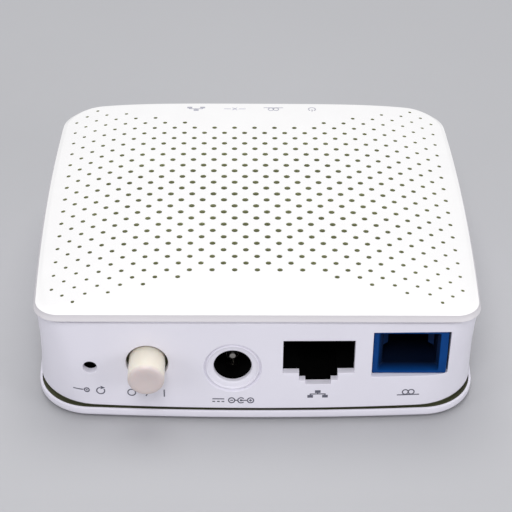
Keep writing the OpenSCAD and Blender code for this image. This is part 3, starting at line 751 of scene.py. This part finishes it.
def build_body():
    shell = Shell()
    edge = 0.3
    low, high = BODY_BOTTOM + edge, BODY_TOP - 0.75
    ways = np.linspace(-WAY_END, WAY_END, round(2*WAY_END/WALL_STEP) + 1)
    outer = np.vstack([lift(ways[:, None], low), lift(ways[::-1, None], high)])
    heights = np.arange(low + 1.6, high - 1, 1.6)
    grid = np.array([(w, z) for w in ways for z in heights])
    windows = [eased(circle(s*(WAY_END - abs(x)), LIGHT_Z, LIGHT_HOLE_R, 24), 0.1)
               for x in LED_XS for s in [math.copysign(1, x)]]
    openings = panel_openings() + windows
    fronts = [rings[0][0] for rings in openings]
    backs = [rings[-1][0] for rings in openings]
    rim, front_loops = plate(shell, outer, fronts, clear_points(grid, outer, fronts, 0.5), wall_points)
    # The inside of the wall is painted grey as shade.
    inner_rim, back_loops = plate(shell, outer, backs, clear_points(grid, outer, backs, 0.5),
                                  lambda spots: wall_points(spots, WALL), tag=1)
    for rings, first, last in zip(openings, front_loops, back_loops):
        inward = 1 if abs(rings[0][0][0, 0]) < FLAT_X else -1
        throat = [wall_points(spots) + (0, inward*depth, 0) for spots, depth in rings[1:]]
        shell.loft([first, *throat, last])
    count = len(ways)
    rim_z = BODY_TOP - 0.05
    foot = ((low - 0.12, 0.02), (low - 0.22, 0.09), (BODY_BOTTOM, 0.26), (BODY_BOTTOM, WALL))
    head = ((high + 0.06, 0.04), (high + 0.12, 0.18), (rim_z, 0.3), (rim_z, WALL))
    for along, part, steps in ((ways, slice(count), foot), (ways[::-1], slice(count, None), head)):
        rows = [shell.add(wall_points(lift(along[:, None], z), inset)) for z, inset in steps]
        rows = [rim[part], *rows, inner_rim[part]]
        for a, b in zip(rows, rows[1:]):
            for i in range(count - 1):
                shell.face((a[i], a[i + 1], b[i + 1], b[i]))
    for x, y in POSTS:
        shell.join(screw_post(), (x, y, 0))
    shell.piece("body_shell", "body_plastic", [BODY, BODY_INSIDE_SHADE], ["main_body"])


def screw_post():
    """A post that hangs inside the body, with a blind hole for a case screw."""
    low, high = 4.05, BODY_TOP - 0.1
    profile = [(low, 1.1), (low, 2.3), (low + 0.2, 2.5), (high, 2.5)]
    hole = [(14.0, 0.9), (low + 0.2, 1.0)]
    return lathe(hole + profile, 2, (0, 0, 0), 28)


# ---------- Base ----------

def keyhole(x, y):
    """A wall-mounting slot: a round head hole that narrows to a shank slot."""
    head = polar(x, y, 3.4, np.linspace(math.radians(118), math.radians(422), 24))
    slot = polar(x, y + 6.4, 1.6, np.linspace(0, math.pi, 13))
    return np.vstack([head, slot])


def slit(x, y, width, length):
    """A slot with round ends."""
    far = polar(0, length/2 - width/2, width/2, np.linspace(0, math.pi, 9))
    return np.vstack([far, -far]) + (x, y)


FOOT_SPOTS = [(x, y) for x in (-23.5, 23.5) for y in (-24.0, 24.0)]


def build_base():
    shell = Shell()
    floor_top = BASE_BOTTOM + 1.4
    round_r = 0.8
    slits = [slit(i*2.6, s*17, 1.2, 8) for i in range(-5, 6) for s in (-1, 1)]
    keyholes = [keyhole(s*20, -2) for s in (-1, 1)]
    edge = 0.12
    pocket_r, recess_r, shank_r = 4.2, 2.4, 1.3
    pocket_top, recess_top, label_top = BASE_BOTTOM + 0.5, BASE_BOTTOM + 1.2, BASE_BOTTOM + 0.15
    pockets = [circle(x, y, pocket_r, 40) for x, y in FOOT_SPOTS]
    recesses = [circle(x, y, recess_r) for x, y in POSTS]
    label = finely(rectangle(0, 0, *LABEL_RECESS), 3)
    through = slits + keyholes
    outer = BASE_PLAN.inset(round_r).loop()
    holes = [grow(h, edge) for h in through + recesses + pockets] + [label]
    grid = np.array([(x, y) for x in np.arange(-36, 37, 4) for y in np.arange(-32, 33, 4)], float)
    rim, loops = plate(shell, outer, holes, clear_points(grid, outer, holes, 0.8),
                       lambda p: lift(p, BASE_BOTTOM))
    inner = BASE_PLAN.inset(2.6).loop()
    small = [circle(x, y, shank_r) for x, y in POSTS]
    inner_holes = through + small
    # The floor's upper side, inside the case, is painted grey as shade.
    inner_rim, inner_loops = plate(shell, inner, inner_holes, clear_points(grid, inner, inner_holes, 0.8),
                                   lambda p: lift(p, floor_top), tag=1)
    count = len(through)
    for hole, below, above in zip(through, loops, inner_loops):
        shell.loft([below, lift(hole, BASE_BOTTOM + edge), above])
    for hole, seat, below, above in zip(recesses, small, loops[count:], inner_loops[count:]):
        steps = [lift(hole, BASE_BOTTOM + edge), lift(hole, recess_top), lift(seat, recess_top)]
        shell.loft([below, *steps, above])
    for pocket, below in zip(pockets, loops[count + len(POSTS):]):
        _, last = shell.loft([below, lift(pocket, BASE_BOTTOM + edge), lift(pocket, pocket_top)])
        shell.cap(last)
    _, last = shell.loft([loops[-1], lift(label, label_top)])
    shell.cap(last)
    rounding = [(round_r*(1 - math.sin(angle)), BASE_BOTTOM + round_r*(1 - math.cos(angle)))
                for angle in (math.radians(15*step) for step in range(1, 7))]
    sides = BASE_PLAN.rings(*rounding, (0, BASE_TOP - 0.15), (0.05, BASE_TOP - 0.04),
                            (0.15, BASE_TOP), (0.42, BASE_TOP))
    _, ledge = shell.loft([rim, *sides])
    wall_top = BODY_BOTTOM + 1.9
    # The groove between the base and the body is painted dark as shadow.
    groove = BASE_PLAN.rings((0.5, BASE_TOP - 0.08), (0.55, BASE_TOP - 0.7), (1.5, BASE_TOP - 0.7),
                             (1.6, wall_top), (2.6, wall_top))
    shell.loft([ledge, *groove, inner_rim], tag=2)
    shell.piece("base_shell", "body_plastic", [BODY, BODY_INSIDE_SHADE, GAP_SHADOW], ["base_cover"])


# ---------- Button ----------

def build_button():
    front, radius = button_low.y, BUTTON.x - button_low.x - 0.9
    edge = 0.75
    profile = [(0.16, 0.35), (0.125, 0.8), (0.07, 1.3), (0.02, 1.8), (0, 2.0)]
    for step in range(1, 8):
        angle = math.radians(90*step/7)
        profile.append((edge*(1 - math.cos(angle)), radius - edge + edge*math.sin(angle)))
    length = button_high.y - front
    flange = len(profile)
    profile += [(length - 0.85, radius), (length - 0.8, radius + 0.05), (length - 0.75, radius + 0.9),
                (length, radius + 0.9), (length, 2.3), (length - 1.5, 2.2)]
    shell = lathe(profile, 1, (BUTTON.x, front, BUTTON.z), 72, second_from=flange)
    # The flange behind the panel, seen round the button, is painted dark as shadow.
    shell.piece("power_button", "cream_plastic", [button_material(), GAP_SHADOW],
                ["power_button_cap"], body="power_button", at_case=False)


# ---------- Optical socket ----------

def socket_outline(x, z, width, height, notch=0.0):
    """A rectangle with cut corners and a keyway of this height in the middle of its top."""
    w, h = width/2, height/2
    corner, key = 0.2, 1.2
    return np.array([
        (x - w + corner, z - h), (x + w - corner, z - h), (x + w, z - h + corner), (x + w, z + h - corner),
        (x + w - corner, z + h), (x + key, z + h), (x + key, z + h + notch), (x - key, z + h + notch),
        (x - key, z + h), (x - w + corner, z + h), (x - w, z + h - corner), (x - w, z - h + corner),
    ])


def bevelled_block(width, depth, height, edge):
    """A box that stands on the origin, with its four upright edges and its rims cut back."""
    shell = Shell()
    rings = [lift(socket_outline(0, 0, width - 2*cut, depth - 2*cut), z)
             for cut, z in ((edge, 0), (0, edge), (0, height - edge), (edge, height))]
    first, last = shell.loft(rings)
    shell.face(first[::-1])
    shell.face(last)
    return shell


def build_optic_socket():
    """The adapter's housing: a bevelled frame, and a mouth that narrows to the plug's tunnel."""
    shell = Shell()
    front, back = adapter_low.y, adapter_high.y
    tunnel_end = front + 12.5
    ferrule_r = 2.1
    case_w, case_h = 12.5, 9
    tunnel_w, tunnel_h, keyway = 9, 7.4, 0.45
    left = OPTIC.x - 0.1  # the frame sits to the left in its opening
    steps = [(back, left, case_w, case_h, 0), (front + 0.15, left, case_w, case_h, 0),
             (front, left, case_w - 0.3, case_h - 0.3, 0), (front, left - 0.25, 10.4, 8.1, 0),
             (front + 0.2, left - 0.2, 10.2, 7.9, 0), (front + 1.5, OPTIC.x, 10.2, 7.8, 0.1),
             (front + 1.9, OPTIC.x, 9.2, 7.5, 0.4), (front + 2.2, OPTIC.x, tunnel_w, tunnel_h, keyway),
             (tunnel_end, OPTIC.x, tunnel_w, tunnel_h, keyway)]
    outlines = [socket_outline(x, OPTIC.z, *sizes) for _, x, *sizes in steps]
    shell.loft([np.insert(outline, 1, step[0], axis=1) for outline, step in zip(outlines, steps)])
    hole = circle(OPTIC.x, OPTIC.z, ferrule_r, 24)
    ends = []
    for y, outline in ((back, outlines[0]), (tunnel_end, outlines[-1])):
        _, holes = plate(shell, outline, [hole], np.empty((0, 2)), lambda p: np.insert(p, 1, y, axis=1))
        ends.append(holes[0])
    shell.strip(*ends)
    shell.join(bevelled_block(11, 12, 3.6, 0.2), (OPTIC.x, front + 7.4, BOARD_TOP))
    peg = lathe([(0, 0.6), (0.3, 1.0), (2.4, 1.0)], 2, (0, 0, 0), 20)
    for x in (-4.6, 4.6):
        shell.join(peg, (OPTIC.x + x, CASE_Y - 24, adapter_low.z))
    shell.piece("optical_socket", "blue_plastic", [adapter_material()], ["optical_adapter"], at_case=False)


# ---------- Feet and label ----------

def build_feet():
    """Moulded rubber feet with a ribbed underside."""
    shell = Shell()
    high = box_mm("rubber_feet")[1].z
    groove, slope = 0.12, 0.15
    profile = [(groove, 0.5)]
    for inner, outer in ((1.25, 1.55), (2.25, 2.55), (3.15, 3.4)):
        profile += [(groove, inner - slope), (0, inner), (0, outer), (groove, outer + slope)]
    profile[-1:] = [(0.05, 3.6), (0.18, 3.8), (0.42, 3.95), (0.7, 4), (high, 4)]
    foot = lathe(profile, 2, (0, 0, 0), 48)
    for x, y in FOOT_SPOTS:
        shell.join(foot, (x, y, 0))
    shell.piece("feet", "rubber", [RUBBER], ["rubber_feet"])


def build_label():
    """A blank film label with round corners, ruled into rows."""
    low, high = box_mm("rating_label")
    shell = Shell()
    corner = 1.2
    w, d = (high.x - low.x)/2 - corner, (high.y - low.y)/2 - corner
    loop = np.vstack([polar(w*sx, d*sy, corner, np.radians(np.arange(start, start + 91, 15)))
                      for start, sx, sy in ((0, 1, 1), (90, -1, 1), (180, -1, -1), (270, 1, -1))])
    first, last = shell.loft([lift(loop, low.z), lift(loop, high.z)])
    shell.cap(first)
    shell.cap(last)

    def under(spots, rise):
        return lift(spots, low.z - rise)

    add_stroke(shell, loop*0.92, under, closed=True, tag=1)
    for y in (-5.5, -1.5, 2.5, 6.5):
        add_stroke(shell, line((-w, y), (w, y)), under, tag=1)
    shell.piece("label", "label", [label_material(), INK], ["rating_label"])


# ---------- Pictograms ----------

STROKE = 0.19
INK_T = 0.03  # the ink stands this far out of the surface
INK_SINK = 0.02


def arc(x, y, radius, first_deg, last_deg, steps=22):
    return polar(x, y, radius, np.radians(np.linspace(first_deg, last_deg, steps)))


def line(*spots):
    """A run of straight lines, with points close enough together to follow a curved surface."""
    spots = np.array(spots, float)
    return np.vstack([divided(a, b, 0.4) for a, b in zip(spots, spots[1:])] + [spots[-1:]])


def add_stroke(shell, path, place, closed=False, tag=0):
    """A raised ribbon along a path. place(spots, rise) puts them on a surface."""
    across = STROKE/2*mitres(path, closed)
    edges = [shell.add(place(path + side*across, rise))
             for side, rise in ((-1, -INK_SINK), (-1, INK_T), (1, INK_T), (1, -INK_SINK))]
    stations = list(zip(*edges))
    for a, b in zip(stations, stations[1:] + stations[:1]):
        if closed or b is not stations[0]:
            shell.strip(a, b, tag)
    if not closed:
        shell.face(stations[0][::-1], tag)
        shell.face(stations[-1], tag)


def add_patch(shell, outline, place):
    """A raised filled shape."""
    low, high = shell.add(place(outline, -INK_SINK)), shell.add(place(outline, INK_T))
    shell.strip(low, high)
    shell.face(low[::-1])
    shell.face(high)


def ring_mark(x, y, radius):
    return arc(x, y, radius, 0, 345, 24)


# Each mark is its open strokes, its rings and its filled patches.

def reset_mark():
    """A pin that points at a hole, and a turning arrow."""
    arrow = line((2.35, 0.62), (1.62, 0.98), (1.6, 0.28))
    strokes = [arc(1.6, -0.05, 0.68, 95, 395), line((-3.1, 0), (-1.35, 0))]
    return strokes, [ring_mark(-0.75, 0, 0.42)], [arrow, circle(-0.75, 0, 0.14, 12)]


def switch_mark():
    """The circle and bar of a power switch."""
    strokes = [line((-0.35, -0.7), (0.35, 0.7)), line((2.75, -0.75), (2.75, 0.75))]
    return strokes, [ring_mark(-2.75, 0, 0.66)], []


def direct_current_mark():
    """Direct current, and a centre contact that is positive."""
    strokes = [line((-3.4, 0.28), (-1.4, 0.28)), arc(1.45, 0, 0.55, 40, 320)]
    strokes += [line((x, -0.28), (x + 0.45, -0.28)) for x in (-3.4, -2.62, -1.85)]
    strokes += [line((0.37, 0), (0.9, 0)), line((1.45, 0), (2.53, 0)), line((-0.4, 0), (0.1, 0))]
    strokes += [line((2.8, 0), (3.3, 0)), line((3.05, -0.25), (3.05, 0.25))]
    return strokes, [ring_mark(-0.15, 0, 0.52), ring_mark(3.05, 0, 0.52)], [circle(1.45, 0, 0.22, 14)]


def network_mark():
    """Three boxes on one line."""
    boxes = [rectangle(x, y, 0.95, 0.55) for x, y in ((0, 0.5), (-1.25, -0.5), (1.25, -0.5))]
    wires = [line((0, 0.2), (0, 0), (-1.25, 0), (-1.25, -0.2)), line((0, 0), (1.25, 0), (1.25, -0.2))]
    return wires, [], boxes


def fibre_mark():
    """Two loops on a line, for optical fibre."""
    return [line((-1.9, -0.5), (1.9, -0.5))], [ring_mark(-0.5, 0.1, 0.5), ring_mark(0.5, 0.1, 0.5)], []


def lost_signal_mark():
    """A fibre line broken by a cross."""
    spans = (((-2.1, 0), (-0.75, 0)), ((0.75, 0), (2.1, 0)), ((-0.45, -0.45), (0.45, 0.45)),
             ((-0.45, 0.45), (0.45, -0.45)))
    return [line(*span) for span in spans], [], []


def power_mark():
    """A broken ring with a bar in its gap."""
    return [arc(0, 0, 0.66, 125, 415), line((0, 0.15), (0, 0.85))], [], []


def on_panel(x, z):
    """Puts spots about a place on the port panel."""
    return lambda spots, rise: wall_points(np.asarray(spots) + (x, z)) + (0, -rise, 0)


def on_cover(x, y):
    """Puts spots about a place on the cover, to be read from the back."""
    def place(spots, rise):
        spots = (x, y) - np.asarray(spots)
        return lift(spots, cover_height(spots) + rise)
    return place


def build_marks(name, placed, ink):
    shell = Shell()
    for (strokes, rings, patches), place in placed:
        for path in strokes:
            add_stroke(shell, path, place)
        for path in rings:
            add_stroke(shell, path, place, closed=True)
        for outline in patches:
            add_patch(shell, outline, place)
    shell.piece(name, "dark_plastic", [ink])


def build_panel_marks():
    marks = [(reset_mark(), RESET.x, 6.3), (switch_mark(), BUTTON.x, 6.1), (fibre_mark(), OPTIC.x, 6.0),
             (direct_current_mark(), INLET.x, 4.8), (network_mark(), NETWORK_X, 6.1)]
    build_marks("panel_marks", [(mark, on_panel(x, z)) for mark, x, z in marks], INK)


def build_light_marks():
    marks = [network_mark(), lost_signal_mark(), fibre_mark(), power_mark()]
    build_marks("light_marks", [(mark, on_cover(x, 29.9)) for mark, x in zip(marks, LED_XS)], LID_INK)


build_cover()
build_body()
build_base()
build_button()
build_optic_socket()
build_feet()
build_label()
build_panel_marks()
build_light_marks()


# ---------- Finishes for the CAD nodes ----------

TIN = metal("tinned_pins", (0.62, 0.62, 0.60), 0.32)
STEEL = metal("zinc_steel", (0.55, 0.56, 0.58), 0.28)
NICKEL = metal("bright_nickel", (0.72, 0.70, 0.66), 0.16, mottle=0.03)
# The inlet's centre pin is nickel painted dark: painted shade, as the pin sits deep in the dark socket.
NICKEL_SHADE = metal("nickel_painted_shade", (0.30, 0.29, 0.27), 0.22, mottle=0.05)
GOLD = metal("thin_gold", (0.83, 0.62, 0.28), 0.25, brushed=(1, 0.15, 1))
ALUMINIUM = metal("bare_aluminium", (0.68, 0.69, 0.70), 0.38, brushed=(1, 0.1, 1), mottle=0.04)
BLACK = moulded("black_plastic", (0.0015, 0.0015, 0.0015), 0.55, grain=0.25, depth=0.003, mottle=0.15,
                Specular_IOR_Level=0.06)
NAVY = moulded("navy_plastic", (0.004, 0.022, 0.085), 0.45, mottle=0.1, Specular_IOR_Level=0.3)
DARK = moulded("dark_plastic", (0.03, 0.03, 0.033), 0.45, mottle=0.12)
NATURAL = moulded("natural_plastic", (0.62, 0.56, 0.42), 0.4, mottle=0.05)
EPOXY = moulded("chip_epoxy", (0.02, 0.02, 0.022), 0.55, grain=0.15, depth=0.006, mottle=0.2)
FERRITE = moulded("ferrite", (0.05, 0.05, 0.052), 0.6, grain=0.2, depth=0.012, mottle=0.2)
CERAMIC = moulded("white_ceramic", (0.82, 0.82, 0.78), 0.15, grain=0.6, depth=0.001, mottle=0.01)
TAN = moulded("capacitor_ceramic", (0.33, 0.22, 0.12), 0.35, grain=0.2, depth=0.004, mottle=0.12)
PAD = moulded("silicone_pad", (0.22, 0.27, 0.33), 0.75, grain=0.3, depth=0.01, mottle=0.08)
LED_EPOXY = moulded("led_epoxy", (0.80, 0.78, 0.55), 0.25, grain=0.4, depth=0.002, mottle=0.05)

FINISHES = [
    (STEEL, "case_screws", "power_switch_spring", "board_screws", "clock_crystal"),
    (DARK, "power_switch_body", "reset_switch_body"),
    (NATURAL, "power_switch_plunger"),
    (TIN, "power_switch_pins", "reset_switch_pins", "dc_jack_tabs", "network_jack_pins",
     "optics_shield"),
    (BLACK, "reset_switch_plunger", "dc_jack_body", "network_jack"),
    (NICKEL_SHADE, "dc_jack_centre_pin"),
    (NICKEL, "dc_jack_spring_contact", "optical_transceiver"),
    (GOLD, "network_contacts", "transceiver_leads"),
    (NAVY, "optical_latch_insert"),
    (CERAMIC, "ferrule_sleeve"),
    (board_material(), "main_board"),
    (EPOXY, "main_processor", "memory_chip", "flash_chip", "network_transformer", "converter_chips",
     "protection_diode", "small_resistors"),
    (PAD, "thermal_pad"),
    (ALUMINIUM, "heat_sink", "bulk_capacitors"),
    (FERRITE, "power_coils"),
    (TAN, "small_capacitors"),
    (LED_EPOXY, "status_leds"),
    (light_pipe_material(), "light_pipes"),
]

SOFT_EDGED = ["network_jack", "dc_jack_body", "power_switch_body", "reset_switch_body",
              "optical_latch_insert", "optical_transceiver", "heat_sink", "main_processor",
              "network_transformer", "memory_chip", "flash_chip", "clock_crystal", "power_coils",
              "light_pipes", "status_leds"]

for material, *names in FINISHES:
    for name in names:
        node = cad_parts[name]
        node.data.materials.clear()
        node.data.materials.append(material)


def soften_edges(name, width):
    """Rounds a node's sharp edges a little, as moulding and stamping do."""
    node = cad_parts[name]
    node.modifiers.new("joined_corners", "WELD").merge_threshold = 0.001*MM
    bevel = node.modifiers.new("soft_edges", "BEVEL")
    bevel.width = width*MM
    bevel.segments = 2
    bevel.limit_method = "ANGLE"
    bevel.angle_limit = math.radians(40)


for name in SOFT_EDGED:
    soften_edges(name, 0.06)


# ---------- Camera, lights and floor ----------

VIEW_AIM = (0.48, 16.83, 0)  # the point on the floor that the camera looks at
VIEW_DISTANCE = 313.6
VIEW_HEIGHT_DEG = 35.94  # above the floor
VIEW_SIDE_DEG = 1.13  # to the left of straight ahead
VIEW_ROLL_DEG = 0.82


def build_camera():
    """The viewing angle: from the front and above, almost square to the port panel."""
    data = bpy.data.cameras.new("camera")
    data.sensor_width = 36
    data.lens = 112.7
    data.clip_start, data.clip_end = 0.01, 5
    side = Matrix.Rotation(math.radians(-VIEW_SIDE_DEG), 4, "Z")
    tilt = Matrix.Rotation(math.radians(90 - VIEW_HEIGHT_DEG), 4, "X")
    roll = Matrix.Rotation(math.radians(VIEW_ROLL_DEG), 4, "Z")
    back_off = Matrix.Translation((0, 0, VIEW_DISTANCE*MM))
    camera = add_object("camera", data)
    camera.matrix_world = Matrix.Translation(Vector(VIEW_AIM)*MM) @ side @ tilt @ roll @ back_off
    bpy.context.scene.camera = camera


LIGHT_TARGET = Vector((0, 0, 0.01))  # inside the case, in metres, as the lights' places are


def build_light(name, place, size, watts, colour=(1, 1, 1)):
    data = bpy.data.lights.new(name, "AREA")
    data.shape = "DISK"
    data.size = size
    data.energy = watts
    data.color = colour
    light = add_object(name, data)
    light.location = place
    light.rotation_euler = (LIGHT_TARGET - Vector(place)).to_track_quat("-Z", "Y").to_euler()


def build_floor():
    mesh = bpy.data.meshes.new("floor")
    reach = 3.0
    mesh.from_pydata([(-reach, -reach, 0), (reach, -reach, 0), (reach, reach, 0), (-reach, reach, 0)],
                     [], [(0, 1, 2, 3)])
    recipe = Recipe("floor_paper", (0.46, 0.46, 0.47), 0.8)
    recipe.mottled(60, 0.01)
    mesh.materials.append(recipe.material)
    floor = add_object("floor", mesh)


def build_world():
    world = bpy.data.worlds.new("studio")
    world.use_nodes = True
    sky = world.node_tree.nodes["Background"]
    sky.inputs["Color"].default_value = (0.93, 0.95, 1.0, 1)
    sky.inputs["Strength"].default_value = 0.38
    bpy.context.scene.world = world


build_camera()
build_world()
build_floor()
build_light("top_softbox", (0.0, 0.12, 0.55), 0.45, 1.6)
build_light("front_softbox", (-0.05, -0.48, 0.62), 0.3, 2.2, (0.98, 0.97, 1.0))
build_light("left_softbox", (-0.55, -0.35, 0.22), 0.3, 0.7, (0.97, 0.97, 1.0))
build_light("right_softbox", (0.55, -0.35, 0.22), 0.3, 1.1, (0.97, 0.97, 1.0))
bpy.context.scene.view_settings.view_transform = "Standard"
